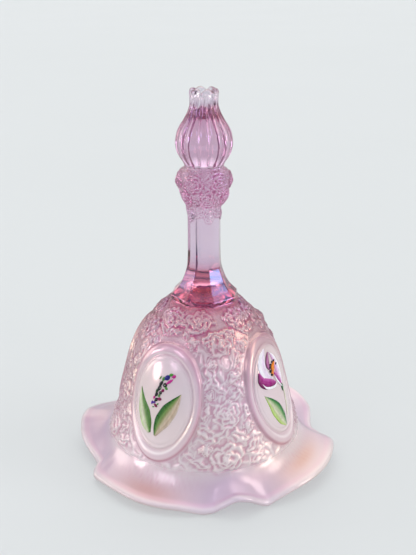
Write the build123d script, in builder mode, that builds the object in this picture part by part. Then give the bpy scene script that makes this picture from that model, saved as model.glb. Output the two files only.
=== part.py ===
"""Pressed glass hand bell with a ruffled skirt, four oval medallions, and a clapper on a short chain.

Frame: +Z up along the bell's axis, with the origin in the middle of the plane that the rim rests on.
The medallions face -Y, +X, +Y and -X. Every size is in millimetres.
"""

from build123d import *
import os
from math import atan2, cos, pi, radians, sin

os.makedirs("parts", exist_ok=True)

# ---- driving dimensions ----
total_height = 171.0
crown_height = 79.2  # where the dome's wall ends under the handle
wall_thickness = 2.9
rim_thickness = 2.7

# the ruffled rim: radius and height of its tip at three places in each quarter
lobe_radius, lobe_height = 60.9, 7.0  # under the middle of a medallion
corner_radius, corner_height = 58.8, 0.65  # the low points that the bell rests on
arch_radius, arch_height = 57.4, 9.0  # the raised fold under a rose panel
corner_angle = 30.0  # from the middle of a lobe to the low point beside it
lobe_droop, corner_droop, arch_droop = -12.0, -24.0, -4.0  # slope of the rim, in degrees

# handle: an octagon with corners on the X and Y axes, then a rose ball and a fluted bud
handle_sides = 8
base_corner_radius = 15.1
stem_corner_radius = 7.45
base_bottom, band_top = 78.3, 81.2
flare_sections = [(14.7, band_top), (11.4, 85.0), (8.9, 90.2), (7.65, 95.0)]  # corner radius, height
stem_sections = [flare_sections[-1], (stem_corner_radius, 101.0), (stem_corner_radius, 122.0)]
hollow_radius, hollow_top = 7.0, 84.6
hollow_overlap = 2.0  # the hollow starts this far below the crown, inside the dome
flute_count = 12
flute_depth = 0.75
bead_count = 6
bead_radius, bead_circle = 2.05, 4.2
crown_radius, crown_bottom = 6.15, 163.6
cup_radius, cup_floor = 3.5, 160.5

# medallions
medallion_height = 42.0
medallion_half_width, medallion_half_height = 17.0, 24.0
medallion_border = 3.6
medallion_relief = 1.1
medallion_root = 0.8  # how far the border reaches into the wall
medallion_reach = (20.0, 60.0)  # distances from the axis that its upright oval prism spans
medallion_foot = 1.6  # how far the border's lowest point lies outside the middle of the wall

# clapper set
wire = 1.0
wire_gap = 0.05
link_bend = 1.8  # radius of a link's bend, to the middle of its wire
link_length = 7.0  # between the middles of its two bends
link_count = 5
staple_low = 76.5
plug_radius, plug_height = 3.4, 4.0
staple_bury = 3.0
ball_radius, ball_height = 6.5, 33.0
pin_head_radius, pin_head_thickness = 1.3, 0.6

# outer and inner outline of the dome, from the crown down to where the skirt begins: (radius, height)
dome_outside = [
    (14.8, crown_height),
    (18.6, 75.2),
    (22.6, 71.0),
    (26.8, 66.0),
    (30.2, 60.0),
    (33.2, 52.0),
    (35.9, 42.0),
    (38.7, 32.0),
    (41.7, 22.0),
]
dome_inside = [
    (hollow_radius + 0.5, crown_height),
    (12.8, 76.8),
    (18.2, 72.2),
    (23.2, 65.8),
    (26.9, 59.0),
    (30.1, 51.0),
    (32.9, 41.2),
    (35.8, 31.2),
    (38.8, 21.2),
]
skirt_start = (41.8, 16.5)  # middle of the wall where the skirt begins to flare
skirt_start_slope = -72.0  # direction of the wall there, in degrees


def finish(part, name):
    """Names a finished piece and writes it."""
    part.label = name
    export_step(part, f"parts/{name}.step")
    print(name, "valid" if part.is_valid else "NOT VALID", round(part.volume, 1), "mm3")


# ---- glass casting ----
def blend_in_quarter(turn, lobe, corner, arch):
    """A value that goes smoothly from lobe to corner to arch with the angle from a medallion's middle."""
    away = abs((turn + 45.0) % 90.0 - 45.0)
    if away <= corner_angle:
        return corner + (lobe - corner) * cos(pi / 2 * away / corner_angle) ** 2
    share = (away - corner_angle) / (45.0 - corner_angle)
    return corner + (arch - corner) * sin(pi / 2 * share) ** 2


def skirt_line(turn):
    """Points and slopes along the middle of the skirt, as (radius, height, slope in radians)."""
    tip_radius = blend_in_quarter(turn, lobe_radius, corner_radius, arch_radius)
    tip_height = blend_in_quarter(turn, lobe_height, corner_height, arch_height)
    droop = radians(blend_in_quarter(turn, lobe_droop, corner_droop, arch_droop))
    start_r, start_z = skirt_start
    end_r = tip_radius - rim_thickness / 2 * cos(droop)
    end_z = tip_height - rim_thickness / 2 * sin(droop)
    pull = ((end_r - start_r) ** 2 + (end_z - start_z) ** 2) ** 0.5
    a = radians(skirt_start_slope)
    line = []
    for share in (0.0, 0.25, 0.5, 0.75, 1.0):
        h0 = 2 * share**3 - 3 * share**2 + 1
        h1 = share**3 - 2 * share**2 + share
        h2 = 3 * share**2 - 2 * share**3
        h3 = share**3 - share**2
        g0 = 6 * share**2 - 6 * share
        g1 = 3 * share**2 - 4 * share + 1
        g3 = 3 * share**2 - 2 * share
        r = h0 * start_r + h1 * pull * cos(a) + h2 * end_r + h3 * pull * cos(droop)
        z = h0 * start_z + h1 * pull * sin(a) + h2 * end_z + h3 * pull * sin(droop)
        dr = g0 * (start_r - end_r) + g1 * pull * cos(a) + g3 * pull * cos(droop)
        dz = g0 * (start_z - end_z) + g1 * pull * sin(a) + g3 * pull * sin(droop)
        line.append((r, z, atan2(dz, dr)))
    return line


def wall_outline(turn):
    """Outer points, rim tip and inner points of the wall at one angle round the bell."""
    line = skirt_line(turn)
    outside = list(dome_outside)
    inside = list(dome_inside)
    for index, (r, z, slope) in enumerate(line):
        share = index / (len(line) - 1)
        half = (wall_thickness + (rim_thickness - wall_thickness) * share) / 2
        outside.append((r - half * sin(slope), z + half * cos(slope)))
        inside.append((r + half * sin(slope), z - half * cos(slope)))
    end_r, end_z, slope = line[-1]
    tip = (end_r + rim_thickness / 2 * cos(slope), end_z + rim_thickness / 2 * sin(slope))
    return outside, tip, inside


def radial_plane(turn):
    """An upright plane through the axis, with its first axis outwards and its second axis up."""
    a = radians(turn)
    return Plane(origin=(0, 0, 0), x_dir=(cos(a), sin(a), 0), z_dir=(sin(a), -cos(a), 0))


section_count = 13  # evenly spaced sections of the wall in each quarter
with BuildPart() as quarter_wall:
    for index in range(section_count):
        turn = 90 * index / (section_count - 1)
        outside, tip, inside = wall_outline(turn)
        with BuildSketch(radial_plane(turn)):
            with BuildLine():
                Spline(*outside)
                ThreePointArc(outside[-1], tip, inside[-1])
                Spline(*reversed(inside))
                Line(inside[0], outside[0])
            make_face()
    loft()


def octagon(radius, height):
    """An octagonal section of the handle, with corners on the X and Y axes."""
    with BuildSketch(Plane.XY.offset(height)) as section:
        RegularPolygon(radius, handle_sides)
    return section.sketch.face()


def flute_outline(radius, height):
    """A section of the bud: rounded flutes side by side round a circle."""
    with BuildSketch(Plane.XY.offset(height)) as section:
        with BuildLine():
            for index in range(flute_count):
                start = 360 / flute_count * index
                half = 180 / flute_count
                valley = radius - flute_depth
                ThreePointArc(
                    (valley * cos(radians(start - half)), valley * sin(radians(start - half))),
                    (radius * cos(radians(start)), radius * sin(radians(start))),
                    (valley * cos(radians(start + half)), valley * sin(radians(start + half))),
                )
        make_face()
    return section.sketch.face()


# the bud's outline: (radius, height), from the waist above the rose ball up to the crown's neck
bud_outline = [(8.3, 137.6), (10.2, 141.6), (11.7, 144.8), (12.2, 148.2), (11.7, 152.2)]
bud_outline += [(10.3, 155.4), (8.4, 158.4), (6.8, 161.6), (6.3, 164.4)]
bead_centre_height = total_height - bead_radius
knop_outline = [(7.2, 118.6), (8.8, 122.3), (10.0, 125.2), (11.2, 128.0), (11.6, 131.4)]
knop_outline += [(10.6, 134.8), (8.8, 136.6), (8.1, 138.4)]

below_ground = (Align.CENTER, Align.CENTER, Align.MAX)
with BuildPart() as glass_bell:
    with PolarLocations(0, 4):
        add(quarter_wall.part)

    # octagonal foot of the handle, its flare and its stem
    for height in (base_bottom, band_top):
        add(octagon(base_corner_radius, height))
    loft(ruled=True)
    for radius, height in flare_sections:
        add(octagon(radius, height))
    loft()
    for radius, height in stem_sections:
        add(octagon(radius, height))
    loft(ruled=True)

    # rose ball
    with BuildSketch(Plane.XZ):
        with BuildLine():
            Spline(*knop_outline)
            Polyline(knop_outline[-1], (0, knop_outline[-1][1]), (0, knop_outline[0][1]), knop_outline[0])
        make_face()
    revolve(axis=Axis.Z)

    # fluted bud and its crown of beads
    for radius, height in bud_outline:
        add(flute_outline(radius, height))
    loft()
    with BuildSketch(Plane.XY.offset(crown_bottom)):
        Circle(crown_radius)
    extrude(amount=bead_centre_height - crown_bottom)
    with Locations((0, 0, bead_centre_height)):
        with PolarLocations(bead_circle, bead_count):
            Sphere(bead_radius)

    # raised oval borders of the medallions, which follow the dome
    with BuildPart(mode=Mode.PRIVATE) as border:
        with BuildSketch(Plane.XZ.offset(medallion_reach[0])):
            with Locations((0, medallion_height)):
                Ellipse(medallion_half_width, medallion_half_height)
                Ellipse(
                    medallion_half_width - medallion_border,
                    medallion_half_height - medallion_border,
                    mode=Mode.SUBTRACT,
                )
        extrude(amount=medallion_reach[1] - medallion_reach[0])
        with BuildSketch(Plane.XZ):
            with BuildLine():
                wall_line = [*dome_outside[1:], (skirt_start[0] + medallion_foot, skirt_start[1])]
                outer_edge = [(r + medallion_relief, z) for r, z in wall_line]
                inner_edge = [(r - medallion_root, z) for r, z in wall_line]
                Spline(*outer_edge)
                Line(outer_edge[-1], inner_edge[-1])
                Spline(*reversed(inner_edge))
                Line(inner_edge[0], outer_edge[0])
            make_face()
        revolve(axis=Axis.Z, mode=Mode.INTERSECT)
    with PolarLocations(0, 4):
        add(border.part)

    # hollow in the foot of the handle, open cup in the crown, and the flat spots that the rim stands on
    with BuildSketch(Plane.XY.offset(crown_height - hollow_overlap)):
        Circle(hollow_radius)
    extrude(amount=hollow_top - crown_height + hollow_overlap, mode=Mode.SUBTRACT)
    with BuildSketch(Plane.XY.offset(cup_floor)):
        Circle(cup_radius)
    extrude(amount=total_height - cup_floor, mode=Mode.SUBTRACT)
    Box(4 * lobe_radius, 4 * lobe_radius, total_height, align=below_ground, mode=Mode.SUBTRACT)

finish(glass_bell.part, "glass_bell")


# ---- clapper set ----
def stadium(low, length, plane, legs_up=False):
    """A wire bent into a link in the given upright plane, with the middle of its low bend at height low.

    With legs_up it is a staple instead: one bend with two straight legs of that length."""
    low_centre = low + link_bend
    high_centre = low + length - link_bend
    with BuildPart() as shape:
        with BuildSketch(Plane.XY.offset(low_centre)):
            with Locations((-link_bend, 0), (link_bend, 0)):
                Circle(wire / 2)
        extrude(amount=high_centre - low_centre)
        for centre, direction in ((low_centre, 1), (high_centre, -1)):
            if direction == -1 and legs_up:
                continue
            with BuildSketch(Plane.XY.offset(centre)):
                with Locations((link_bend, 0)):
                    Circle(wire / 2)
            turn_axis = Axis((0, 0, centre), (0, direction, 0))
            revolve(axis=turn_axis, revolution_arc=180)
    return shape.part.rotate(Axis.Z, 90 if plane == "YZ" else 0)


legs_top = hollow_top - plug_height + staple_bury
with BuildPart() as wire_staple:
    add(stadium(staple_low, legs_top - staple_low + link_bend, "YZ", legs_up=True))
finish(wire_staple.part, "wire_staple")

with BuildPart() as cement_plug:
    with BuildSketch(Plane.XY.offset(hollow_top - plug_height)):
        Circle(plug_radius)
    extrude(amount=plug_height)
    add(wire_staple.part, mode=Mode.SUBTRACT)
finish(cement_plug.part, "cement_plug")

link_pitch = link_length - wire - wire_gap
for index in range(link_count):
    top = staple_low + wire + wire_gap - link_pitch * index
    with BuildPart() as chain_link:
        add(stadium(top - link_length, link_length, "XZ" if index % 2 == 0 else "YZ"))
    finish(chain_link.part, f"chain_link_{index + 1}")

eye_top = staple_low + wire + wire_gap - link_pitch * link_count
eye_centre = eye_top - link_bend
pin_end = ball_height - ball_radius - pin_head_thickness
with BuildPart() as clapper_pin:
    with Locations(Location((0, 0, eye_centre), (0, 90, 0))):
        Torus(link_bend, wire / 2)
    with BuildSketch(Plane.XY.offset(pin_end)):
        Circle(wire / 2)
    extrude(amount=eye_centre - link_bend - pin_end)
    with BuildSketch(Plane.XY.offset(pin_end)):
        Circle(pin_head_radius)
    extrude(amount=pin_head_thickness)
finish(clapper_pin.part, "clapper_pin")

with BuildPart() as clapper_ball:
    with Locations((0, 0, ball_height)):
        Sphere(ball_radius)
        Cylinder(wire / 2, 4 * ball_radius, mode=Mode.SUBTRACT)
finish(clapper_ball.part, "clapper_ball")
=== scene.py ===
"""Looks of a pressed, iridised pink glass hand bell with painted medallions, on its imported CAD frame.

Shapes are worked out in millimetres and turned into metres where each mesh is made.
An azimuth of 0 faces -Y and 90 faces +X, as the medallions do.
"""
import math

import bpy
import numpy as np
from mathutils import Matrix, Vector


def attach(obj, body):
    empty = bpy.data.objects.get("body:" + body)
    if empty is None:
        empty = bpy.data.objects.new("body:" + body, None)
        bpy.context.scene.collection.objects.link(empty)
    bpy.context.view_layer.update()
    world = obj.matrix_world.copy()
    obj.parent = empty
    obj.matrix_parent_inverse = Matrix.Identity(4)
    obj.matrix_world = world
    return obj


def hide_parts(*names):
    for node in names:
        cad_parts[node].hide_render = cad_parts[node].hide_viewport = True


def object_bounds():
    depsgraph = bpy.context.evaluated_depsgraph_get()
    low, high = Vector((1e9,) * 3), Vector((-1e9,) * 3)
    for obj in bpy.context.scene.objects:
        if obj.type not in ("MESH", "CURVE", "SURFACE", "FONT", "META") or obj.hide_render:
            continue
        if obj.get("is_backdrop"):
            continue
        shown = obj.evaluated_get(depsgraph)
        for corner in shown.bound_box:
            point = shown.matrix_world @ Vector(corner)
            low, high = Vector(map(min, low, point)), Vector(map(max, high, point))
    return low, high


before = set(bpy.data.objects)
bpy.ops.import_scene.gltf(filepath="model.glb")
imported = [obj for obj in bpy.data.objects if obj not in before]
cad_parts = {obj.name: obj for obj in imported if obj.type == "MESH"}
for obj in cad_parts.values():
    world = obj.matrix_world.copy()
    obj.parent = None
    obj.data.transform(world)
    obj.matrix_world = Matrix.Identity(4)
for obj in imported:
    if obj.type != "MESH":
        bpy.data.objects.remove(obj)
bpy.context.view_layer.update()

MM = 0.001
BODY = "bell"

# ---- small tools for shapes ----


def smooth_line(xs, ys, x):
    """A smooth curve through the points (xs, ys), read at x. It doesn't overshoot between them."""
    xs, ys = np.asarray(xs, float), np.asarray(ys, float)
    gap = np.diff(xs)
    rise = np.diff(ys) / gap
    slope = np.empty_like(ys)
    slope[0], slope[-1] = rise[0], rise[-1]
    same_way = rise[:-1] * rise[1:] > 0
    mean = 2 * rise[:-1] * rise[1:] / np.where(same_way, rise[:-1] + rise[1:], 1.0)
    slope[1:-1] = np.where(same_way, mean, 0.0)
    x = np.clip(x, xs[0], xs[-1])
    i = np.clip(np.searchsorted(xs, x, side="right") - 1, 0, len(gap) - 1)
    t = (x - xs[i]) / gap[i]
    a = (1 + 2 * t) * (1 - t) ** 2
    b = t * (1 - t) ** 2
    c = t * t * (3 - 2 * t)
    d = t * t * (t - 1)
    return a * ys[i] + b * gap[i] * slope[i] + c * ys[i + 1] + d * gap[i] * slope[i + 1]


def step(x, width):
    """0 below -width and 1 above width, smooth between."""
    t = np.clip(x / (2 * width) + 0.5, 0, 1)
    return t * t * (3 - 2 * t)


def bump(x, width):
    """A smooth ridge of height 1 at x = 0."""
    return np.exp(-((x / width) ** 2))


def turned(azimuth, radius, height):
    """Points at an azimuth in degrees, a radius and a height."""
    a = np.radians(azimuth)
    return np.stack([radius * np.sin(a), -radius * np.cos(a), height + 0 * a], axis=-1)


def nearest(azimuth, centre, period):
    """Signed distance in degrees to the nearest of the centres, which repeat round the bell."""
    return (azimuth - centre + period / 2) % period - period / 2


# ---- the dome's outline ----
CROWN_Z = 79.0
SKIRT_Z = 16.5
OUTSIDE_Z = [16.5, 19.0, 22.0, 32.0, 42.0, 52.0, 60.0, 66.0, 71.0, 75.2, 79.0]
OUTSIDE_R = [43.5, 42.6, 41.5, 38.5, 35.7, 33.0, 30.0, 26.6, 22.4, 18.4, 14.6]
INSIDE_Z = [15.6, 21.2, 31.2, 41.2, 51.0, 59.0, 65.8, 72.2, 76.8, 79.2]
INSIDE_R = [40.6, 38.8, 35.8, 32.9, 30.1, 26.9, 23.2, 18.2, 12.8, 8.0]

fine_z = np.linspace(SKIRT_Z, CROWN_Z, 1200)
fine_r = smooth_line(OUTSIDE_Z, OUTSIDE_R, fine_z)
fine_s = np.concatenate([[0], np.cumsum(np.hypot(np.diff(fine_r), np.diff(fine_z)))])
fine_s = fine_s[-1] - fine_s  # distance down the wall from the crown
WALL_LENGTH = fine_s[0]


def along(z):
    """Distance down the outside of the dome from the crown to the height z."""
    return np.interp(z, fine_z, fine_s)


# ---- relief on the dome ----


# petals in each ring of a rose, then, as shares of its radius, how far out they sit and their half width,
# and as shares of its height, their level and how much their edge turns up
PETALS = ((6, 0.56, 0.47, 0.16, 0.50), (5, 0.31, 0.36, 0.42, 0.52), (3, 0.13, 0.23, 0.72, 0.45))


def rose(du, dv, size, turn, height=1.0):
    """A pressed rose: cupped petals that overlap in three rings round a tight bud."""
    du, dv = np.asarray(du) / size, np.asarray(dv) / size
    shape = np.zeros(np.broadcast(du, dv).shape)
    for count, away, wide, level, cup in PETALS:
        for k in range(count):
            a = turn + 2 * math.pi * (k + 0.18 * math.sin(3 * turn + 2 * k)) / count + away * 2
            grow = 1 + 0.14 * math.sin(5 * turn + 3.1 * k)
            rho = np.hypot(du - away * math.cos(a), (dv - away * math.sin(a)) * 1.12) / (wide * grow)
            over = step(1 - rho, 0.09)
            shape = shape * (1 - over) + over * (level + cup * rho**2.5)
    return height * (shape + 0.25 * bump(np.hypot(du, dv), 0.1))


def leaf(du, dv, length, width, turn, height=0.75):
    """A pointed leaf with a sunk middle vein, side veins and a raised edge."""
    c, s = math.cos(turn), math.sin(turn)
    a = (du * c + dv * s) / (length / 2)
    b = -du * s + dv * c
    half = width / 2 * np.clip(1 - np.abs(a) ** 1.7, 0, 1) ** 0.8 + 1e-6
    inside = step(1 - np.abs(b) / half, 0.25) * (np.abs(a) < 1)
    side_veins = 0.18 * np.cos(9 * a - 5 * np.abs(b) / max(width, 0.1))
    middle_vein = 0.65 * bump(b, 0.35)
    raised_edge = 0.35 * bump(np.abs(b) - 0.75 * half, 0.35)
    return height * inside * (0.75 - middle_vein + raised_edge + side_veins)


# azimuth from a medallion's middle, height, size and turn of each rose in one quarter
ROSES = [
    (-15.0, 73.8, 5.7, 0.3),
    (23.0, 74.0, 5.5, 1.4),
    (45.7, 66.6, 5.6, 2.1),
    (67.0, 64.9, 2.9, 0.9),
    (20.0, 67.0, 2.6, 2.8),
    (54.0, 53.5, 3.6, 1.0),
    (36.0, 59.5, 2.5, 0.2),
    (45.5, 38.2, 6.2, 2.6),
    (33.0, 46.5, 2.6, 1.9),
    (43.5, 20.0, 7.2, 0.5),
    (59.5, 31.5, 2.7, 2.3),
    (31.0, 24.0, 2.8, 0.6),
]
# azimuth, height, length, width and turn of each leaf in one quarter
LEAVES = [
    (36.0, 54.8, 9.0, 3.8, 1.2),
    (32.5, 51.5, 8.0, 3.4, 2.2),
    (40.5, 49.5, 8.0, 3.4, 0.5),
    (57.5, 60.0, 7.0, 3.0, 2.0),
    (58.5, 46.8, 8.0, 3.4, 1.0),
    (31.0, 40.5, 8.0, 3.2, 1.9),
    (60.0, 38.8, 7.5, 3.0, 1.2),
    (52.5, 45.5, 7.0, 3.0, 2.6),
    (31.5, 31.5, 9.0, 4.0, 0.6),
    (40.0, 29.8, 9.0, 3.8, 2.5),
    (53.5, 28.6, 9.0, 4.0, 0.5),
    (60.0, 23.5, 8.5, 3.6, 2.4),
    (27.0, 18.8, 9.0, 3.6, 0.4),
    (63.0, 18.3, 9.0, 3.6, 2.8),
    (34.0, 68.5, 7.0, 3.0, 2.3),
    (57.5, 69.8, 7.5, 3.2, 0.7),
    (4.0, 73.5, 7.5, 3.2, 0.2),
    (-2.0, 70.0, 6.5, 2.6, 2.9),
    (38.0, 75.0, 7.0, 2.8, 0.9),
    (62.0, 75.3, 7.0, 2.8, 2.4),
    (12.0, 70.0, 5.0, 2.2, 1.3),
    (76.0, 69.2, 5.5, 2.4, 0.4),
]
MEDALLION_TOP, MEDALLION_BOTTOM = 66.0, 17.6
MEDALLION_HALF_WIDTH = 17.6
medallion_mid = (along(MEDALLION_TOP) + along(MEDALLION_BOTTOM)) / 2
medallion_half = (along(MEDALLION_BOTTOM) - along(MEDALLION_TOP)) / 2


def medallion_reach(azimuth, radius, s):
    """0 in the middle of the nearest medallion and 1 at its outer edge."""
    side = np.radians(nearest(azimuth, 0, 90)) * radius
    return np.hypot(side / MEDALLION_HALF_WIDTH, (s - medallion_mid) / medallion_half)


def busy_ground(u, v):
    """Wandering ridges, like stems and small leaves, between the roses."""
    ground = np.zeros_like(u)
    for k in range(4):
        way, phase = 0.5 + 0.79 * k, 1.7 * k
        bend = 1.3 * np.sin(u * 0.42 + v * 0.31 + phase) + 0.6 * np.sin(u * 0.9 - v * 0.7 + 2 * phase)
        across = u * math.cos(way) + v * math.sin(way) + bend
        wave = np.abs(np.sin(math.pi * across / 4.6 + phase))
        ground = np.maximum(ground, bump(wave, 0.33) * (0.6 + 0.4 * np.sin(u * 0.5 - v * 0.6 + phase)))
    return ground


def medallion_border(reach):
    """Height of a medallion's raised border, with its two sunk lines, and of its slightly domed middle."""
    border = 1.45 * step(1.0 - reach, 0.03)
    border -= 0.75 * bump(reach - 0.80, 0.028)
    border -= 0.28 * bump(reach - 0.735, 0.02)
    border += 0.22 * bump(reach - 0.765, 0.018) + 0.25 * bump(reach - 0.90, 0.06)
    border += 0.5 * np.clip(1 - (reach / 0.72) ** 2, 0, 1)
    return border


def dome_relief(azimuth, radius, s):
    """Height of the pressed pattern above the plain wall, for azimuths, radii and distances down the wall."""
    quarter = nearest(azimuth, 45, 90) + 45
    low_edge = 1 - step(s - (WALL_LENGTH + 1.5), 2.0)
    # the pattern was cut by hand, so no two of its parts are quite alike
    across = np.radians(azimuth) * 34.0
    sway_u = 0.45 * np.sin(0.9 * across + 0.8 * s) + 0.3 * np.sin(1.7 * s - 0.6 * across)
    sway_v = 0.45 * np.sin(0.8 * across - 1.0 * s + 2.0) + 0.3 * np.sin(1.5 * across + 0.7 * s)
    down = s + sway_v
    field = 0.42 * busy_ground(np.radians(quarter) * 36.0, down) * low_edge * step(s - 17.0, 3.0)
    for az, z, size, turn in ROSES:
        du = np.radians(nearest(quarter, az, 90)) * radius + sway_u
        dv = down - along(z)
        away = np.hypot(du, dv)
        shape = rose(du, dv, size, turn, height=1.0 + 0.08 * size)
        under = np.maximum(field * (1 - step(1.05 - away / size, 0.1)), 0)
        field = np.where(away < size * 1.1, under + shape, field)
    for az, z, length, width, turn in LEAVES:
        du = np.radians(nearest(quarter, az, 90)) * radius + sway_u
        field = np.maximum(field, leaf(du, down - along(z), length, width, turn))
    reach = medallion_reach(azimuth, radius, s)
    field *= step(reach - 1.03, 0.035)
    field *= step(s - 1.2, 1.2) * low_edge
    seam = 0.12 * bump(np.radians(nearest(azimuth, 45, 90)) * radius, 0.16)
    seam *= step(reach - 1.0, 0.02) * (1 - step(field - 0.5, 0.2))
    return np.maximum(field, 0) + medallion_border(reach) + seam


# ---- the ruffled skirt ----
# azimuth, radius and height of the middle of the rim, half its thickness and its droop in degrees,
# as hand crimping left them
RIM_KEYS = [
    (0, 54.6, 3.9, 1.3, -12),
    (10, 54.0, 3.7, 1.3, -14),
    (18, 53.2, 3.3, 1.3, -20),
    (25, 52.4, 2.3, 1.35, -26),
    (30, 52.0, 1.55, 1.45, -30),
    (34.5, 52.3, 2.4, 1.45, -26),
    (39, 53.4, 5.2, 1.45, -14),
    (45, 54.4, 8.1, 1.45, -4),
    (51, 54.2, 6.6, 1.45, -8),
    (56, 53.5, 3.7, 1.45, -20),
    (61, 53.2, 1.8, 1.6, -32),
    (65, 53.8, 2.9, 1.4, -26),
    (75, 56.0, 5.6, 1.3, -16),
    (90, 58.2, 6.6, 1.3, -12),
    (105, 59.2, 6.4, 1.3, -14),
    (114, 59.4, 5.7, 1.55, -22),
    (119, 59.3, 5.0, 1.9, -28),
    (123, 58.0, 4.6, 1.6, -24),
    (128, 55.0, 4.2, 1.4, -16),
    (134, 53.0, 4.2, 1.4, -12),
    (140, 54.5, 4.4, 1.4, -14),
    (145, 57.2, 5.6, 1.4, -16),
    (149, 58.8, 8.0, 1.4, -14),
    (154, 58.6, 10.6, 1.3, -12),
    (162, 58.6, 12.2, 1.3, -10),
    (180, 59.0, 12.4, 1.3, -12),
    (195, 59.0, 9.4, 1.3, -16),
    (204, 57.2, 3.8, 1.4, -24),
    (210, 56.5, 1.7, 1.6, -32),
    (216, 56.2, 4.2, 1.5, -24),
    (225, 56.3, 8.9, 1.4, -4),
    (234, 56.4, 4.8, 1.5, -18),
    (240, 56.8, 1.8, 1.6, -32),
    (247, 57.0, 2.6, 1.4, -26),
    (256, 57.2, 4.8, 1.3, -18),
    (264, 57.6, 6.6, 1.3, -14),
    (270, 58.5, 8.1, 1.3, -12),
    (277, 59.2, 9.9, 1.3, -12),
    (284, 59.5, 11.5, 1.3, -12),
    (289, 59.4, 11.2, 1.3, -12),
    (294, 58.6, 9.0, 1.3, -14),
    (299, 57.2, 7.0, 1.3, -16),
    (304, 55.1, 5.8, 1.35, -16),
    (310, 52.9, 4.8, 1.4, -14),
    (316, 51.3, 4.4, 1.5, -12),
    (322, 50.8, 4.6, 1.7, -14),
    (326, 53.2, 3.4, 2.2, -26),
    (329.5, 54.4, 3.0, 2.2, -30),
    (333, 54.3, 3.0, 1.7, -24),
    (339, 54.3, 3.6, 1.4, -16),
    (349, 54.4, 4.0, 1.3, -12),
]
before = [(az - 360, *rest) for az, *rest in RIM_KEYS[-3:]]
after = [(az + 360, *rest) for az, *rest in RIM_KEYS[:3]]
RIM_KEYS = before + RIM_KEYS + after


def crimp(azimuth):
    """Radius and height of the middle of the rim, half its thickness and its droop in radians."""
    azimuth = np.asarray(azimuth, float) % 360
    keys = np.array(RIM_KEYS, float)
    radius, height, half, droop = (smooth_line(keys[:, 0], keys[:, k], azimuth) for k in range(1, 5))
    return radius, height, half, np.radians(droop)


def sheet_half(azimuth, share):
    """Half the thickness of the skirt's sheet: a little thinner just inside the fire-polished rim."""
    return 1.45 + (crimp(azimuth)[2] - 1.45) * share**2 - 0.22 * bump(share - 0.84, 0.09)


def drag_marks(azimuth, share):
    """Faint upright lines that the crimping tool drew in the skirt, under the medallions above all."""
    here = bump(nearest(azimuth, 3, 90), 24) * bump(share - 0.38, 0.26)
    a = np.radians(azimuth)
    lines = np.sin(a * 127 + 3 * np.sin(azimuth * 0.33)) * np.sin(a * 47 + 14 * share)
    return 0.07 * here * lines


def skirt_line(azimuth, share):
    """Radius, height and slope along the middle of the skirt's sheet.

    share is 0 at the dome and 1 at the rim, and a cubic curve joins the two ends.
    """
    r1, z1, _, droop = crimp(azimuth)
    r0, z0, a = 42.0, SKIRT_Z - 0.4, math.radians(-70)
    pull = np.hypot(r1 - r0, z1 - z0) * 1.05
    h0, h1 = 2 * share**3 - 3 * share**2 + 1, share**3 - 2 * share**2 + share
    h2, h3 = 3 * share**2 - 2 * share**3, share**3 - share**2
    g0, g1, g3 = 6 * share**2 - 6 * share, 3 * share**2 - 4 * share + 1, 3 * share**2 - 2 * share
    r = h0 * r0 + h1 * pull * math.cos(a) + h2 * r1 + h3 * pull * np.cos(droop)
    z = h0 * z0 + h1 * pull * math.sin(a) + h2 * z1 + h3 * pull * np.sin(droop)
    dr = g0 * (r0 - r1) + g1 * pull * math.cos(a) + g3 * pull * np.cos(droop)
    dz = g0 * (z0 - z1) + g1 * pull * math.sin(a) + g3 * pull * np.sin(droop)
    return r, z, np.arctan2(dz, dr)


# ---- rings of the casting, from the floor of the crown's cup, over the outside, to the hollow's top ----
FINE, PLAIN, COARSE = 480, 240, 120  # points in a ring with fine relief and in a plain one
FACETS = 8


def ring_azimuths(count):
    return np.arange(count) * 360.0 / count


def octagon(azimuth, corner_radius, sharpness=70.0):
    """Radius of a slightly rounded octagon with corners at azimuth 0, 45 and so on."""
    flat = corner_radius * math.cos(math.pi / FACETS)
    total = np.zeros_like(azimuth)
    for k in range(FACETS):
        facing = np.cos(np.radians(azimuth - 22.5 - 45 * k))
        total += np.clip(facing, 0, 1) ** sharpness
    return flat / total ** (1 / sharpness)


def fluted(azimuth, radius, depth, count=12):
    """Rounded flutes side by side, with sharp valleys between."""
    t = np.abs(nearest(azimuth, 0, 360 / count)) / (180 / count)
    return radius - depth * t**2.2


BUD_Z = [137.9, 139.4, 141.8, 144.8, 148.1, 152.4, 155.4, 158.2, 161.3, 164.5, 167.5, 169.0]
BUD_R = [8.25, 8.75, 10.3, 11.75, 12.3, 11.65, 10.3, 8.5, 6.9, 6.05, 6.1, 6.15]
BUD_FLUTE = [0.35, 0.6, 0.95, 1.1, 1.1, 1.1, 1.0, 0.85, 0.65, 0.42, 0.25, 0.2]
KNOP_Z = [113.0, 117.0, 120.0, 122.3, 125.2, 128.0, 131.4, 134.6, 136.7, 137.9]
KNOP_R = [7.2, 7.2, 7.5, 8.3, 9.4, 10.3, 10.9, 10.9, 10.2, 8.7]
FLARE_Z = [81.3, 85.0, 90.4, 95.0, 101.0, 113.0]
FLARE_R = [14.9, 11.45, 8.85, 7.7, 7.45, 7.4]


def knop_relief(azimuth, z):
    """Two staggered rows of roses round the ball, with a ragged row of small ones below, on the stem."""
    u = np.radians(azimuth) * 11.3
    shape = 0.4 * busy_ground(u, z) * step(z - 119.5, 2.0) * step(137.2 - z, 0.8)
    # height of a row, and its roses' radius and first azimuth
    for row, (row_z, size, first) in enumerate(((132.2, 4.0, 7.0), (125.6, 3.7, 37.0))):
        for k in range(6):
            du = np.radians(nearest(azimuth, first + 60 * k, 360)) * 11.0
            shape = np.maximum(shape, rose(du, z - row_z, size, 1.3 * k + row, height=1.45))
    for k in range(10):
        du = np.radians(nearest(azimuth, 12 + 36 * k, 360)) * 8.0
        row_z = 119.6 - 2.2 * (k % 2)
        shape = np.maximum(shape, rose(du, z - row_z, 2.7, 1.9 * k, height=0.7))
    return shape


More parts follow.
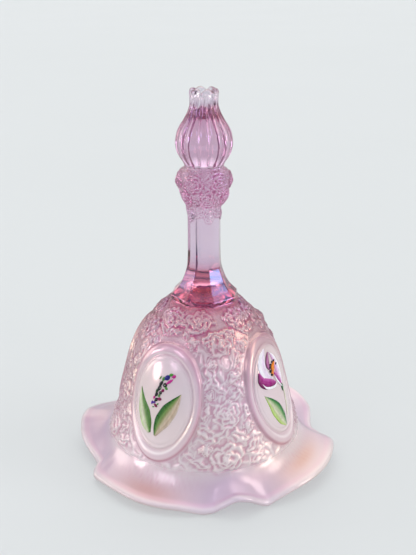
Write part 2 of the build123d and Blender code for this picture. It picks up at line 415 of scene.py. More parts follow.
rings = []  # each is (points, relief, share): a ring's points, its pattern's height, how near the rim it is


def add_ring(points, relief=0.0, share=0.0):
    points = np.asarray(points, float)
    rings.append((points, np.zeros(len(points)) + relief, np.full(len(points), share)))


coarse_az, plain_az, fine_az = ring_azimuths(COARSE), ring_azimuths(PLAIN), ring_azimuths(FINE)
# cup in the crown
CUP_RADIUS = 3.6
for z, r in ((159.2, 1.2), (159.4, 2.4), (160.2, 3.1), (162.4, 3.5), (165.5, 3.6), (167.6, CUP_RADIUS)):
    add_ring(turned(plain_az, r, z))
# rim of the crown, with six beads
CROWN_TOP, CROWN_RADIUS = 171.0, 6.2
BEADS, FIRST_BEAD = 6, 48.5
bead = np.abs(np.cos(np.radians(BEADS / 2 * (plain_az - FIRST_BEAD)))) ** 0.8
for turn in np.linspace(math.pi, 0, 11):
    half = 1.0 + 0.62 * bead
    middle = CROWN_RADIUS - half * 0.98
    centre_z = CROWN_TOP - 1.8 * (1 - bead) - half
    if turn == math.pi:
        middle = np.maximum(middle, CUP_RADIUS + half)
    r = np.maximum(middle + half * math.cos(turn), 3.3)
    add_ring(turned(plain_az, r, centre_z + half * math.sin(turn)))
# neck and bud, pinched in between the beads
for z in np.concatenate([np.linspace(167.2, 158, 15), np.linspace(157.4, 138.2, 32)]):
    r = smooth_line(BUD_Z, BUD_R, z)
    depth = smooth_line(BUD_Z, BUD_FLUTE, z)
    pinch = 0.75 * (1 - bead) ** 2 * step(z - 163.5, 2.5)
    add_ring(turned(plain_az, fluted(plain_az, r, depth) - pinch, z))
# rose ball, which runs out on to the stem
STEM_RADIUS = 7.42
for z in np.linspace(137.7, 113.4, 82):
    r = smooth_line(KNOP_Z, KNOP_R, z)
    to_stem = step(121.0 - z, 2.5)
    base = r * (1 - to_stem) + octagon(plain_az, STEM_RADIUS) * to_stem
    h = knop_relief(plain_az, z)
    add_ring(turned(plain_az, base + h, z), h)
# octagonal stem and foot
FACET_SHARPNESS = 90.0
for z in np.concatenate([np.linspace(112.6, 96, 10), np.linspace(95, 81.4, 26)]):
    add_ring(turned(plain_az, octagon(plain_az, smooth_line(FLARE_Z, FLARE_R, z), FACET_SHARPNESS), z))
for z, r in ((81.15, 15.1), (80.6, 15.25), (79.6, 15.2), (78.9, 14.9)):
    add_ring(turned(plain_az, octagon(plain_az, r, FACET_SHARPNESS), z))
# dome
RING_GAP, SLOPE_GAP = 0.50, 0.2
for s in np.arange(0.55, WALL_LENGTH + 0.01, RING_GAP):
    z = np.interp(-s, -fine_s, fine_z)
    r = np.interp(-s, -fine_s, fine_r)
    above, below = -(s - SLOPE_GAP), -(s + SLOPE_GAP)
    dz = np.interp(below, -fine_s, fine_z) - np.interp(above, -fine_s, fine_z)
    dr = np.interp(below, -fine_s, fine_r) - np.interp(above, -fine_s, fine_r)
    size = math.hypot(dr, dz)
    out_r, out_z = -dz / size, dr / size
    h = dome_relief(fine_az, r, s)
    add_ring(turned(fine_az, r + out_r * h, z + out_z * h), h)
# outside of the skirt, on which the pattern runs out
SKIRT_STEPS = 30
for share in np.linspace(0, 1, SKIRT_STEPS)[1:]:
    r, z, slope = skirt_line(fine_az, share)
    half = sheet_half(fine_az, share)
    h = dome_relief(fine_az, 43.5, WALL_LENGTH + share * 16) * step(0.45 - share, 0.2)
    h += drag_marks(fine_az, share)
    add_ring(turned(fine_az, r - (half + h) * np.sin(slope), z + (half + h) * np.cos(slope)), h, share)
# round the rim
r, z, slope = skirt_line(plain_az, 1.0)
half = crimp(plain_az)[2]
for turn in np.linspace(math.pi / 2, -math.pi / 2, 9)[1:]:
    out_r = np.cos(slope) * math.cos(turn) - np.sin(slope) * math.sin(turn)
    out_z = np.sin(slope) * math.cos(turn) + np.cos(slope) * math.sin(turn)
    add_ring(turned(plain_az, r + half * out_r, z + half * out_z), share=1.0)
# inside of the skirt and the dome
for share in np.linspace(1, 0, 18)[1:-1]:
    r, z, slope = skirt_line(plain_az, share)
    half = sheet_half(plain_az, share)
    add_ring(turned(plain_az, r + half * np.sin(slope), z - half * np.cos(slope)))
for z in np.concatenate([np.linspace(17.0, 70, 30), np.linspace(71.2, 78.4, 9)]):
    add_ring(turned(coarse_az, smooth_line(INSIDE_Z, INSIDE_R, z), z))
for z, r in ((79.4, 7.4), (80.2, 7.0), (82.4, 6.6), (84.0, 5.6), (84.7, 4.2), (85.0, 2.2)):
    add_ring(turned(coarse_az, r, z))


def stitch(rings):
    """Vertices and faces of a closed body through its rings, with a fan at each end.

    Next to a ring of half as many points, each of its spans meets two of the other ring's.
    """
    points = np.concatenate([p for p, _, _ in rings])
    starts = np.cumsum([0] + [len(p) for p, _, _ in rings])
    faces = []
    for k in range(len(rings) - 1):
        n0, n1 = len(rings[k][0]), len(rings[k + 1][0])
        a, b = starts[k], starts[k + 1]
        if n0 == n1:
            i = np.arange(n0)
            j = (i + 1) % n0
            faces += np.stack([a + i, a + j, b + j, b + i], 1).tolist()
            continue
        many, few = (a, b) if n0 > n1 else (b, a)
        n_many, n_few = max(n0, n1), min(n0, n1)
        for i in range(n_few):
            j = (i + 1) % n_few
            m = [many + (2 * i + q) % n_many for q in range(3)]
            strip = [[few + i, m[1], m[0]], [few + i, few + j, m[1]], [few + j, m[2], m[1]]]
            faces += strip if many == b else [face[::-1] for face in strip]
    first, last = len(points), len(points) + 1
    points = np.concatenate([points, [rings[0][0].mean(0)], [rings[-1][0].mean(0)]])
    n = len(rings[0][0])
    faces += [[first, (i + 1) % n, i] for i in range(n)]
    n, a = len(rings[-1][0]), starts[-2]
    faces += [[last, a + i, a + (i + 1) % n] for i in range(n)]
    return points, faces


def make_mesh(name, points, faces, smooth=True):
    """A mesh object from points in millimetres."""
    mesh = bpy.data.meshes.new(name)
    mesh.from_pydata((np.asarray(points) * MM).tolist(), [], faces)
    mesh.validate()
    mesh.update()
    mesh.polygons.foreach_set("use_smooth", [smooth] * len(mesh.polygons))
    piece = bpy.data.objects.new(name, mesh)
    bpy.context.scene.collection.objects.link(piece)
    return piece


def signed_volume(points, faces):
    """Six times the volume inside the faces, judged by some of them. It is negative if they face inwards."""
    total = 0.0
    for face in faces[:: max(1, len(faces) // 20000)]:
        a, b, c = points[face[0]], points[face[1]], points[face[2]]
        total += float(np.dot(a, np.cross(b, c)))
    return total


points, faces = stitch(rings)
if signed_volume(points, faces) < 0:
    faces = [face[::-1] for face in faces]
casting = make_mesh("glass_casting", points, faces)

# ---- colours and other looks kept on the casting's points ----


def stand_out(rings, reach=3):
    """How far the pattern at each point stands above the pattern around it."""
    ridge = []
    for k, (_, relief, _) in enumerate(rings):
        near = [r for _, r, _ in rings[max(k - reach, 0) : k + reach + 1] if len(r) == len(relief)]
        around = np.mean(near, axis=0)
        around = np.mean([np.roll(around, q) for q in range(-reach, reach + 1)], axis=0)
        ridge.append(relief - around)
    return np.concatenate([*ridge, [0.0, 0.0]])


def toward(tone, weight):
    """Moves the points' colours toward a tone, each by its own weight."""
    tint[:, :3] += (np.array(tone) - tint[:, :3]) * np.asarray(weight)[:, None]


def darken(drops, weight):
    """Takes a share of red, green and blue away from the points' colours, each by its own weight."""
    tint[:, :3] *= 1 - np.array(drops) * np.asarray(weight)[:, None]


def by_height(table):
    """A value for each point from rows of (height, value)."""
    return np.interp(height, *zip(*table))


# where each point is
az = np.degrees(np.arctan2(points[:, 0], -points[:, 1])) % 360
radius = np.hypot(points[:, 0], points[:, 1])
height = points[:, 2]
share = np.concatenate([*(part for _, _, part in rings), [0.0, 0.0]])
reach = medallion_reach(az, np.maximum(radius, 1.0), along(np.clip(height, SKIRT_Z, CROWN_Z)))
on_wall = (height > SKIRT_Z) * (height < CROWN_Z)
on_handle = height > CROWN_Z + 2
low = height < SKIRT_Z - 0.5
on_skirt = step(radius - 44.5, 2.5) * low
shoulder = step(height - 66.0, 7.0)
medallion = on_wall * step(1.02 - reach, 0.03)
pad = on_wall * step(0.8 - reach, 0.04)
band = medallion * step(reach - 0.8, 0.04)
ring_highlight, ring_foot_shade = on_wall * bump(reach - 0.85, 0.025), on_wall * bump(reach - 1.0, 0.03)
ridge = np.clip(stand_out(rings) / 0.22, -1, 1)
ridge *= 1 - 0.75 * on_wall * step(1.06 - reach, 0.02)
crease_shade, crest_highlight_and_opal = np.clip(-ridge, 0, 1), np.clip(ridge, 0, 1)

# height, red, green and blue of the glass
TINT = np.array([
    (0, 0.97, 0.87, 0.91),
    (8, 0.97, 0.87, 0.91),
    (14, 0.97, 0.88, 0.91),
    (20, 0.99, 0.91, 0.95),
    (34, 1.00, 0.93, 0.98),
    (50, 1.00, 0.93, 0.98),
    (62, 1.00, 0.88, 0.95),
    (70, 0.99, 0.83, 0.91),
    (76, 0.97, 0.73, 0.83),
    (79, 0.84, 0.26, 0.31),
    (83, 0.78, 0.15, 0.20),
    (88, 0.85, 0.32, 0.40),
    (94, 0.93, 0.80, 0.86),
    (100, 0.93, 0.93, 0.97),
    (140, 0.95, 0.90, 0.95),
    (152, 0.95, 0.89, 0.94),
    (157, 0.88, 0.66, 0.78),
    (160, 0.85, 0.56, 0.69),
    (163, 0.95, 0.88, 0.93),
    (171, 0.98, 0.97, 0.98),
])
tint = np.stack([np.interp(height, TINT[:, 0], TINT[:, k]) for k in (1, 2, 3)] + [np.ones_like(height)], 1)
# painted shade in the relief's creases, stronger on the handle and the shoulder; crests whitened, partly the
# glass striking milkier where it is raised and partly painted highlight
darken((0.20, 0.46, 0.34), crease_shade * (1 + 0.9 * on_handle + 1.1 * shoulder * (height < CROWN_Z)))
toward((0.99, 0.94, 0.965), crest_highlight_and_opal * (0.42 + 0.2 * shoulder))
toward((0.99, 0.90, 0.935), 0.8 * pad)
darken((0.02, 0.10, 0.06), band)
# painted highlight along the inside of each medallion's raised border, and painted shade at its outer foot
toward((0.99, 0.99, 0.99), 0.8 * ring_highlight)
darken((0.12, 0.34, 0.24), ring_foot_shade)
# peach under each medallion and lilac between them; the darker lilac over the left of the skirt is painted
# shade
lobe = bump(nearest(az, 2, 90), 17) * bump(radius - 50.5, 3.4) * low
tint[:, :3] -= np.array((0.15, 0.33, 0.42)) * lobe[:, None]
toward((0.80, 0.70, 0.90), 0.85 * bump(nearest(az, 45, 90), 20) * on_skirt)
toward((0.56, 0.46, 0.70), 0.85 * bump(nearest(az, 285, 360), 36) * on_skirt)
# a deeper skirt, with a line of painted shade inside its rim and a painted highlight along the rim's edge
darken((0.10, 0.17, 0.14), step(share - 0.25, 0.2))
darken((0.04, 0.12, 0.07), bump(share - 0.88, 0.05))
toward((0.97, 0.97, 0.97), 0.5 * step(share - 0.965, 0.03))

MILK = [
    (0, 0.62), (6, 0.60), (12, 0.56), (18, 0.53), (30, 0.50),
    (55, 0.46), (66, 0.30), (75, 0.13), (80, 0.0), (171, 0.0),
]
milk = by_height(MILK)
milk = np.where(radius > 46, np.maximum(milk, 0.58), milk) + 0.1 * crest_highlight_and_opal * on_wall
milk += 0.08 * pad + 0.06 * medallion + 0.2 * ring_highlight
HAZE = [
    (0, 0.40), (6, 0.38), (12, 0.32), (18, 0.24), (30, 0.19),
    (60, 0.15), (74, 0.09), (78, 0.05), (80, 0.02), (171, 0.02),
]
haze = by_height(HAZE)
# how much the colour deepens where the glass turns away: partly the longer path through the glass, partly
# painted shade at the edges
EDGE_SHADE = [
    (14, 0), (22, 0.55), (40, 0.9), (60, 1), (79, 1), (80.5, 0.25),
    (112, 0.25), (118, 0.8), (136, 0.8), (140, 0.5), (171, 0.5),
]
edge_shade = by_height(EDGE_SHADE) * (1 - 0.8 * pad)
FILM = [
    (0, 134), (10, 133), (20, 132), (60, 132), (74, 134),
    (79, 148), (84, 158), (92, 158), (100, 146), (171, 142),
]
film = by_height(FILM) + 6 * np.sin(np.radians(az * 2) + height * 0.13)

mesh = casting.data
colour = mesh.attributes.new("tint", "FLOAT_COLOR", "POINT")
colour.data.foreach_set("color", tint.astype(np.float32).ravel())
for name, values in (("milk", milk), ("lustre", film), ("haze", haze), ("edge_shade", edge_shade)):
    attribute = mesh.attributes.new(name, "FLOAT", "POINT")
    attribute.data.foreach_set("value", values.astype(np.float32))

# ---- materials ----


class Nodes:
    """A short way to write a node material with one Principled shader."""

    def __init__(self, name):
        self.material = bpy.data.materials.new(name)
        self.material.use_nodes = True
        self.tree = self.material.node_tree
        self.shader = self.tree.nodes["Principled BSDF"]
        self.output = self.tree.nodes["Material Output"]

    def add(self, kind, **values):
        node = self.tree.nodes.new(kind)
        for key, value in values.items():
            if hasattr(node, key):
                setattr(node, key, value)
            else:
                node.inputs[key.replace("_", " ")].default_value = value
        return node

    def link(self, source, target):
        self.tree.links.new(source, target)

    def set(self, **values):
        for key, value in values.items():
            self.shader.inputs[key.replace("_", " ")].default_value = value

    def mix(self, factor, first, second, blend="MIX"):
        """Mixes two colours, each a socket or a tuple."""
        node = self.add("ShaderNodeMix", data_type="RGBA", blend_type=blend)
        for socket, value in ((node.inputs[0], factor), (node.inputs[6], first), (node.inputs[7], second)):
            if isinstance(value, bpy.types.NodeSocket):
                self.link(value, socket)
            else:
                socket.default_value = value
        return node.outputs[2]

    def ramp(self, source, stops):
        node = self.add("ShaderNodeValToRGB")
        band = node.color_ramp
        while len(band.elements) < len(stops):
            band.elements.new(0.5)
        for element, (place, value) in zip(band.elements, stops):
            element.position = place
            element.color = value if len(value) == 4 else (*value, 1)
        self.link(source, node.inputs[0])
        return node.outputs[0]

    def attribute(self, name, output="Fac"):
        """A value, or a colour, kept on the mesh's points."""
        return self.add("ShaderNodeAttribute", attribute_name=name).outputs[output]

    def maths(self, operation, first, second, clamp=False):
        """Joins two values, each a socket or a number."""
        node = self.add("ShaderNodeMath", operation=operation, use_clamp=clamp)
        for socket, value in zip(node.inputs, (first, second)):
            if isinstance(value, bpy.types.NodeSocket):
                self.link(value, socket)
            else:
                socket.default_value = value
        return node.outputs[0]

    def noise(self, scale, detail=3.0, stretch=None):
        place = self.add("ShaderNodeTexCoord").outputs["Object"]
        if stretch is not None:
            mapping = self.add("ShaderNodeMapping")
            mapping.inputs["Scale"].default_value = stretch
            self.link(place, mapping.inputs["Vector"])
            place = mapping.outputs["Vector"]
        node = self.add("ShaderNodeTexNoise", Scale=scale, Detail=detail)
        self.link(place, node.inputs["Vector"])
        return node.outputs["Fac"]

    def mottled(self, scale, first, second):
        """A colour that wanders between two tones."""
        return self.ramp(self.noise(scale), [(0.3, first), (0.7, second)])


def glass_material():
    """Pink pressed glass: clear in the handle, milky towards the skirt, with a thin iridescent skin."""
    m = Nodes("iridised_glass")
    turned_away = m.add("ShaderNodeLayerWeight", Blend=0.5).outputs["Facing"]
    # colour, deeper where the glass turns away: partly the longer path through the glass, partly painted
    # shade at the edges
    cloud = m.mottled(55.0, (0.96, 0.95, 0.97), (1.0, 1.0, 1.0))
    clouded = m.mix(1.0, m.attribute("tint", "Color"), cloud, "MULTIPLY")
    deeper = m.mix(1.0, clouded, (0.50, 0.17, 0.35, 1), "MULTIPLY")
    edge = m.ramp(turned_away, [(0.30, (0, 0, 0)), (0.82, (1, 1, 1))])
    depth = m.maths("MULTIPLY", edge, m.attribute("edge_shade"))
    m.link(m.mix(depth, clouded, deeper), m.shader.inputs["Base Color"])
    # clearness and roughness
    m.link(m.maths("SUBTRACT", 1.0, m.attribute("milk")), m.shader.inputs["Transmission Weight"])
    haze = m.attribute("haze")
    m.link(haze, m.shader.inputs["Roughness"])
    # glossy coat, weaker where the glass turns away
    facing = m.ramp(turned_away, [(0.30, (1, 1, 1)), (0.82, (0.2, 0.2, 0.2))])
    gloss = m.maths("MULTIPLY", haze, 4.5, clamp=True)
    m.link(m.maths("MULTIPLY", gloss, facing), m.shader.inputs["Coat Weight"])
    m.link(m.maths("MULTIPLY", haze, 0.45), m.shader.inputs["Coat Roughness"])
    # iridescent skin, its thickness in nanometres
    m.link(m.attribute("lustre"), m.shader.inputs["Thin Film Thickness"])
    m.set(IOR=1.5, Coat_IOR=1.6, Thin_Film_IOR=1.9)
    body = m.add("ShaderNodeVolumeAbsorption", Density=50.0)
    body.inputs["Color"].default_value = (0.80, 0.48, 0.66, 1)
    m.link(body.outputs[0], m.output.inputs["Volume"])
    return m.material


def metal_material():
    m = Nodes("plated_wire")
    m.link(m.mottled(900.0, (0.62, 0.62, 0.64), (0.80, 0.80, 0.82)), m.shader.inputs["Base Color"])
    m.link(m.mottled(600.0, (0.16,) * 3, (0.3,) * 3), m.shader.inputs["Roughness"])
    m.set(Metallic=1.0)
    return m.material


def cement_material():
    m = Nodes("rosy_cement")
    m.link(m.mottled(400.0, (0.80, 0.52, 0.60), (0.88, 0.64, 0.70)), m.shader.inputs["Base Color"])
    m.set(Roughness=0.45)
    return m.material


def ball_material():
    m = Nodes("clapper_glass")
    m.link(m.mottled(250.0, (0.93, 0.90, 0.94), (0.98, 0.96, 0.98)), m.shader.inputs["Base Color"])
    m.set(Roughness=0.04, Transmission_Weight=1.0, IOR=1.5)
    return m.material


# ---- hand-painted enamel, in millimetres across a medallion and up from the floor ----


def enamel_colour(r, g, b):
    """Scene colour from the everyday 0-255 kind."""
    c = np.array([r, g, b]) / 255
    return np.where(c <= 0.04045, c / 12.92, ((c + 0.055) / 1.055) ** 2.4)


def on_dome(centre, across, up, lift):
    """Points on the pressed surface beside a medallion's middle, lifted off it."""
    r = np.interp(-along(up), -fine_s, fine_r)
    azimuth = centre + np.degrees(across / r)
    s = along(up)
    dz = np.interp(-(s + 0.5), -fine_s, fine_z) - np.interp(-(s - 0.5), -fine_s, fine_z)
    dr = np.interp(-(s + 0.5), -fine_s, fine_r) - np.interp(-(s - 0.5), -fine_s, fine_r)
    size = np.hypot(dr, dz)
    h = dome_relief(azimuth, r, s) + lift
    return turned(azimuth, r - dz / size * h, up + dr / size * h)


class Enamel:
    """Gathers the strokes of one colour family on one medallion into one mesh."""

    def __init__(self, name, centre, slot):
        self.name, self.centre, self.slot = name, centre, slot
        self.points, self.faces, self.colours = [], [], []
        self.count = 0

    def stroke(self, line, halves, bands, lift=0.16, steps=26, lanes=13, streak=0.0, body=0.10):
        """A brush stroke along a line of (across, up), coloured in bands from one side to the other."""
        line = np.asarray(line, float)
        places = np.linspace(0, 1, len(line))
        t = np.linspace(0, 1, steps)
        mid = np.stack([smooth_line(places, line[:, k], t) for k in (0, 1)], 1)
        way = np.gradient(mid, axis=0)
        way /= np.linalg.norm(way, axis=1)[:, None] + 1e-9
        left = np.stack([-way[:, 1], way[:, 0]], 1)
        half = smooth_line(np.linspace(0, 1, len(halves)), halves, t)
        q = np.linspace(-1, 1, lanes)
        flat = mid[:, None] + left[:, None] * (half[:, None] * q)[..., None]
        crown = lift + body * (1 - q**2)[None, :] * np.ones((steps, 1))
        bands = np.array([enamel_colour(*band) for band in bands])
        colour = np.stack([np.interp(q, np.linspace(-1, 1, len(bands)), bands[:, k]) for k in range(3)], 1)
        wave = 1 + streak * np.sin(23 * q)[None, :] * np.sin(2.2 + 5 * t)[:, None]
        colour = np.clip(colour[None] * wave[..., None], 0, 1)
        across, up = flat[..., 0].ravel(), flat[..., 1].ravel()
        top = on_dome(self.centre, across, up, crown.ravel())
        under = on_dome(self.centre, across, up, crown.ravel() * 0 - 0.05)
        n, total = self.count, steps * lanes
        grid = np.arange(total).reshape(steps, lanes)
        a, b, c, d = grid[:-1, :-1], grid[1:, :-1], grid[1:, 1:], grid[:-1, 1:]
        quads = np.stack([a, b, c, d], -1).reshape(-1, 4)
        edge = np.concatenate([grid[0], grid[1:, -1], grid[-1, -2::-1], grid[-2:0:-1, 0]])
        after = np.roll(edge, -1)
        skirt = np.stack([edge, after, after + total, edge + total], 1)
        self.faces += (quads + n).tolist() + (quads[:, ::-1] + total + n).tolist() + (skirt + n).tolist()
        self.points += [top, under]
        self.colours += [colour.reshape(-1, 3)] * 2
        self.count += 2 * total

    def dab(self, across, up, long, short, tilt, rgb, lift=0.2, body=0.28):
        """A small raised oval touch of the brush."""
        a = math.radians(tilt)
        reach = np.array([math.cos(a), math.sin(a)]) * long
        line = [np.array([across, up]) + reach * k for k in (-1, -0.5, 0, 0.5, 1)]
        halves = [short * k for k in (0.15, 0.85, 1, 0.85, 0.15)]
        self.stroke(line, halves, [rgb, rgb], lift, steps=9, lanes=7, body=body)

    def make(self):
        points = np.concatenate(self.points)
        faces = self.faces
        if signed_volume(points, faces) < 0:
            faces = [face[::-1] for face in faces]
        piece = make_mesh(self.name, points, faces)
        colour = piece.data.attributes.new("tint", "FLOAT_COLOR", "POINT")
        values = np.concatenate([np.concatenate(self.colours), np.ones((self.count, 1))], 1)
        colour.data.foreach_set("color", values.astype(np.float32).ravel())
        piece.data.materials.append(enamel)
        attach(piece, BODY)


def enamel_material():
    m = Nodes("fired_enamel")
    brush = m.ramp(m.noise(900.0, 4.0, (1, 1, 0.35)), [(0.35, (0.82, 0.82, 0.82)), (0.65, (1.0, 1.0, 1.0))])
    m.link(m.mix(1.0, m.attribute("tint", "Color"), brush, "MULTIPLY"), m.shader.inputs["Base Color"])
    m.link(m.mottled(500.0, (0.22,) * 3, (0.38,) * 3), m.shader.inputs["Roughness"])
    m.set(Specular_IOR_Level=0.3)
    return m.material


enamel = enamel_material()

MAGENTA, DEEP_MAGENTA, VIOLET = (190, 40, 140), (130, 15, 80), (95, 50, 165)
NAVY, BLACK, BOTTLE_GREEN = (35, 30, 120), (18, 16, 26), (30, 70, 35)
LEAF_GREEN, GREY_GREEN, WHITE, ORANGE = (70, 140, 55), (140, 160, 135), (243, 238, 244), (238, 132, 18)


def paint_spike(name, centre):
    """A flower spike between two leaves."""
    leaves = Enamel(name + "_leaves", centre, "enamel_green")
    leaves.stroke(
        [(-10.8, 45.9), (-9.3, 40.5), (-7.3, 36.2), (-5.7, 32.6), (-3.4, 28.4)],
        [0.08, 1.9, 3.1, 2.9, 0.7],
        [(176, 205, 125), (212, 214, 188), (205, 205, 178), (120, 152, 88), (66, 112, 48), (92, 138, 62)],
        streak=0.12,
    )
    leaves.stroke(
        [(8.8, 47.2), (6.6, 43.0), (4.2, 38.8), (2.2, 35.0), (0.5, 31.2), (-0.5, 27.9)],
        [0.08, 2.2, 3.4, 3.3, 2.1, 0.5],
        [
            (14, 78, 22),
            (44, 100, 34),
            (104, 140, 72),
            (150, 150, 104),
            (205, 188, 166),
            (196, 172, 150),
            (214, 196, 182),
        ],
        streak=0.16,
    )
    leaves.make()
    bright = Enamel(name + "_florets", centre, "enamel_purple")
    for across, up, long, short, tilt, rgb in (
        (4.7, 53.9, 0.9, 0.7, 30, MAGENTA),
        (3.2, 51.6, 1.7, 0.55, 42, MAGENTA),
        (0.7, 47.5, 0.8, 0.6, 60, DEEP_MAGENTA),
        (-0.3, 43.6, 0.9, 0.7, 10, DEEP_MAGENTA),
        (-3.0, 43.7, 0.7, 0.5, 80, MAGENTA),
        (-3.7, 41.3, 0.8, 0.5, 75, VIOLET),
        (-2.7, 41.6, 0.6, 0.45, 20, VIOLET),
        (-1.8, 40.5, 0.9, 0.6, -30, DEEP_MAGENTA),
    ):
        bright.dab(across, up, long, short, tilt, rgb)
    bright.make()
    dark = Enamel(name + "_buds", centre, "enamel_dark")
    for across, up, long, short, tilt, rgb in (
        (1.9, 53.0, 1.4, 1.0, 45, NAVY),
        (3.4, 54.4, 0.9, 0.6, 20, LEAF_GREEN),
        (0.3, 52.2, 1.0, 0.6, 70, LEAF_GREEN),
        (-1.2, 52.4, 0.8, 0.3, 60, LEAF_GREEN),
        (1.4, 49.9, 1.0, 0.9, 30, BLACK),
        (1.4, 49.9, 0.5, 0.4, 30, GREY_GREEN),
        (-0.5, 50.2, 1.2, 0.7, 60, BLACK),
        (2.1, 48.7, 0.8, 0.5, -40, LEAF_GREEN),
        (-1.0, 48.2, 1.3, 0.8, 65, BLACK),
        (-0.5, 48.4, 0.5, 0.3, 65, GREY_GREEN),
        (-1.9, 46.9, 1.1, 0.6, 65, BOTTLE_GREEN),
        (-0.3, 46.3, 0.8, 0.7, 60, BLACK),
        (-0.3, 46.3, 0.4, 0.3, 60, GREY_GREEN),
        (-2.1, 45.2, 1.0, 0.7, 70, BLACK),
        (-0.7, 45.0, 0.7, 0.5, 70, LEAF_GREEN),
        (-1.8, 43.0, 1.1, 0.7, 50, BLACK),
        (-2.9, 39.6, 0.5, 0.25, 10, LEAF_GREEN),
        (-0.9, 41.3, 0.5, 0.3, 60, LEAF_GREEN),
    ):
        dark.dab(across, up, long, short, tilt, rgb, lift=0.24 if rgb == GREY_GREEN else 0.2)
    dark.make()


def paint_crocus(name, centre):
    """An open flower on a bent stem, with one leaf."""
    leaves = Enamel(name + "_leaf", centre, "enamel_green")
    leaves.stroke(
        [(-9.4, 42.0), (-6.4, 37.9), (-3.8, 33.6), (-1.6, 29.4), (0.7, 25.0)],
        [0.08, 2.0, 3.3, 3.0, 0.6],
        [(182, 214, 106), (186, 204, 136), (208, 202, 182), (166, 186, 140), (52, 130, 58), (12, 92, 34)],
        streak=0.12,
    )
    leaves.stroke(
        [(3.9, 43.0), (4.2, 41.2), (4.0, 39.2)],
        [0.1, 0.9, 0.1],
        [(20, 80, 40), (70, 140, 80)],
        lift=0.3,
    )
    leaves.make()
    white = Enamel(name + "_white", centre, "enamel_white")
    white.stroke(
        [(-2.0, 60.2), (-5.4, 57.2), (-6.9, 53.4), (-6.0, 49.8), (-2.4, 47.2)],
        [0.3, 1.7, 2.2, 2.0, 0.8],
        [(238, 232, 246), (243, 238, 244), (226, 206, 230), (236, 226, 238)],
        streak=0.05,
    )
    white.stroke(
        [(0.6, 58.0), (2.6, 54.4), (3.6, 49.8), (4.2, 45.8), (4.4, 42.4)],
        [0.2, 1.5, 2.1, 1.6, 0.2],
        [(205, 140, 195), (226, 190, 222), (240, 232, 242), WHITE],
        streak=0.06,
    )
    white.stroke(
        [(-9.2, 47.4), (-7.6, 45.4), (-4.8, 44.3), (-1.8, 43.9), (0.4, 44.8)],
        [0.1, 0.5, 0.65, 0.5, 0.1],
        [WHITE, WHITE],
        lift=0.28,
    )
    white.stroke(
        [(-1.0, 48.8), (0.2, 46.3), (2.0, 43.7), (4.0, 41.4)],
        [0.15, 0.35, 0.35, 0.15],
        [WHITE, WHITE],
        lift=0.36,
    )
    white.stroke(
        [(4.1, 41.8), (5.2, 38.3), (4.6, 33.2), (3.3, 28.4)],
        [0.3, 0.4, 0.4, 0.25],
        [(236, 232, 214), (214, 218, 186)],
        lift=0.26,
    )
    white.make()
    bright = Enamel(name + "_petals", centre, "enamel_purple")
    bright.stroke(
        [(-9.6, 52.4), (-9.2, 48.9), (-7.0, 46.9), (-4.0, 46.0), (-0.8, 45.3)],
        [0.3, 1.9, 2.4, 2.0, 0.5],
        [(96, 4, 74), (140, 10, 106), (166, 34, 134), (196, 100, 172)],
        lift=0.26,
        streak=0.15,
    )
    bright.stroke(
        [(-0.4, 58.4), (-2.3, 56.0), (-3.3, 53.8), (-2.8, 51.6)],
        [0.15, 1.0, 1.2, 0.4],
        [(104, 18, 76), (186, 116, 164), (118, 22, 88)],
        lift=0.26,
        streak=0.3,
    )
    bright.stroke(
        [(-0.6, 50.0), (0.9, 47.4), (2.7, 44.8), (3.9, 42.6)],
        [0.3, 1.25, 1.2, 0.15],
        [(140, 20, 114), (178, 62, 152), (216, 150, 202)],
        lift=0.28,
        streak=0.2,
    )
    bright.make()
    stamens = Enamel(name + "_stamens", centre, "enamel_orange")
    for across, up, long, short, tilt in (
        (-0.4, 51.6, 1.7, 1.2, 60),
        (0.9, 52.9, 1.2, 0.8, 40),
        (-1.5, 49.9, 1.5, 0.8, 70),
    ):
        stamens.dab(across, up, long, short, tilt, ORANGE, lift=0.34)
    stamens.make()
    dots = Enamel(name + "_dots", centre, "enamel_dark")
    for across, up, size in (
        (1.7, 53.9, 0.6),
        (2.8, 52.2, 0.6),
        (-2.4, 52.4, 0.7),
        (-2.6, 50.8, 0.7),
        (-1.4, 53.3, 0.5),
        (-2.2, 49.2, 0.6),
        (0.2, 53.9, 0.45),
    ):
        dots.dab(across, up, size, size * 0.8, 30, BLACK, lift=0.36)
    dots.make()


for name, centre, design in (
    ("front_medallion", 0, paint_spike),
    ("right_medallion", 90, paint_crocus),
    ("back_medallion", 180, paint_crocus),
    ("left_medallion", 270, paint_spike),
):
    design(name, centre)

glass = glass_material()
casting.data.materials.append(glass)
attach(casting, BODY)
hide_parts("glass_bell")

wire_metal, cement, ball_glass = metal_material(), cement_material(), ball_material()
for name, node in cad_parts.items():
    if name == "glass_bell":
        continue
    finish = {"cement_plug": cement, "clapper_ball": ball_glass}.get(name, wire_metal)
    node.data.materials.clear()
    node.data.materials.append(finish)

# ---- stage, light and camera ----
VIEW_AZIMUTH = 30.5
CAMERA_AWAY, CAMERA_UP = 0.367, 0.222
FOCAL_SHARE = 1.585586  # focal length over the picture's long side
PITCH = 20.1
YAW = 0.260435

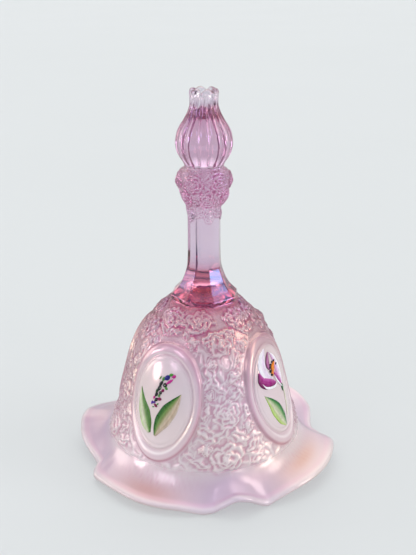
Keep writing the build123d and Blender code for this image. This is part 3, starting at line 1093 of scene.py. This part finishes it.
FLOOR_HALF, FLOOR_GAP = 6, 0.0002
corners = [(x * FLOOR_HALF, y * FLOOR_HALF, 0) for x, y in ((-1, -1), (1, -1), (1, 1), (-1, 1))]
floor_mesh = bpy.data.meshes.new("floor")
floor_mesh.from_pydata(corners, [], [(0, 1, 2, 3)])
floor = bpy.data.objects.new("floor", floor_mesh)
bpy.context.scene.collection.objects.link(floor)
floor.location.z = -FLOOR_GAP
paper = Nodes("floor_paper")
paper.link(paper.mottled(3.0, (0.25, 0.257, 0.26), (0.258, 0.265, 0.269)), paper.shader.inputs["Base Color"])
paper.set(Roughness=0.9, Emission_Color=(0.96, 0.99, 1.0, 1), Emission_Strength=0.42)
floor.data.materials.append(paper.material)
floor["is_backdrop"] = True

world = bpy.data.worlds.new("studio")
bpy.context.scene.world = world
world.use_nodes = True
sky = world.node_tree
sky.nodes.clear()


def sky_node(kind, *sources, **values):
    """A node of the sky, with its inputs filled in order from sockets or plain values."""
    node = sky.nodes.new(kind)
    for key, value in values.items():
        setattr(node, key, value)
    for socket, source in zip(node.inputs, sources):
        if isinstance(source, bpy.types.NodeSocket):
            sky.links.new(source, socket)
        elif source is not None:
            socket.default_value = source
    return node


def room_way(right, away, up):
    """A direction given from the camera's own place, as the bell faces it."""
    a = math.radians(VIEW_AZIMUTH)
    way = Vector((right * math.cos(a) - away * math.sin(a), right * math.sin(a) + away * math.cos(a), up))
    return way.normalized()


# direction (right, away, up), half angle and softness in degrees, and strength of each bright or dim patch
# of the room
PATCHES = [
    ((0.0, 0.55, 0.84), 34, 14, 1.15),
    ((-0.87, 0.28, 0.41), 9, 6, 1.0),
    ((-0.97, 0.21, 0.15), 11, 5, 2.6),
    ((0.80, -0.13, 0.58), 12, 5, 3.2),
    ((-0.62, -0.66, 0.50), 9, 6, 3.4),
    ((0.60, -0.72, 0.42), 5, 3, 5.0),
    ((-0.95, -0.25, 0.15), 7, 2, 8.0),
    ((0.94, -0.28, 0.18), 9, 3, 6.5),
    ((0.0, -1.0, 0.25), 38, 22, -0.34),
]
SKY_BASE, SKY_TONE = 0.74, (0.965, 0.99, 1.0)
BACKDROP = (0.745, 0.79, 0.815, 1)
looking = sky_node("ShaderNodeTexCoord").outputs["Generated"]
total = SKY_BASE
for way, half_angle, soft, strength in PATCHES:
    aim = tuple(room_way(*way))
    nearness = sky_node("ShaderNodeVectorMath", looking, aim, operation="DOT_PRODUCT").outputs["Value"]
    edge = math.cos(math.radians(half_angle + soft))
    core = math.cos(math.radians(max(half_angle - soft, 0)))
    ease = {"interpolation_type": "SMOOTHSTEP"}
    patch = sky_node("ShaderNodeMapRange", nearness, edge, core, 0.0, strength, **ease).outputs[0]
    total = sky_node("ShaderNodeMath", patch, total, operation="ADD").outputs[0]
coloured = sky_node("ShaderNodeVectorMath", SKY_TONE, operation="SCALE")
sky.links.new(total, coloured.inputs["Scale"])
# the camera itself sees a plain backdrop
camera_sees = sky_node("ShaderNodeLightPath").outputs["Is Camera Ray"]
plain = sky.nodes.new("ShaderNodeMix")
plain.data_type = "RGBA"
sky.links.new(camera_sees, plain.inputs[0])
sky.links.new(coloured.outputs[0], plain.inputs[6])
plain.inputs[7].default_value = BACKDROP
lit = sky_node("ShaderNodeBackground", plain.outputs[2])
sky_node("ShaderNodeOutputWorld", lit.outputs[0])

LAMP_SIZE, LAMP_POWER, LAMP_PLACE = 1.2, 1.2, (0.1, -0.1, 1.4)
lamp = bpy.data.lights.new("overhead", "AREA")
lamp.size, lamp.energy = LAMP_SIZE, LAMP_POWER
overhead = bpy.data.objects.new("overhead", lamp)
bpy.context.scene.collection.objects.link(overhead)
overhead.location = LAMP_PLACE

camera_data = bpy.data.cameras.new("camera")
camera = bpy.data.objects.new("camera", camera_data)
bpy.context.scene.collection.objects.link(camera)
SENSOR = 36.0
camera_data.sensor_width = SENSOR
camera_data.lens = SENSOR * FOCAL_SHARE
camera_data.clip_start, camera_data.clip_end = 0.01, 50
a = math.radians(VIEW_AZIMUTH)
camera.location = (CAMERA_AWAY * math.sin(a), -CAMERA_AWAY * math.cos(a), CAMERA_UP)
camera.rotation_euler = (math.radians(90 - PITCH), 0, math.radians(VIEW_AZIMUTH - YAW))
bpy.context.scene.camera = camera
bpy.context.scene.view_settings.view_transform = "Standard"

bpy.context.view_layer.update()
low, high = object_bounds()
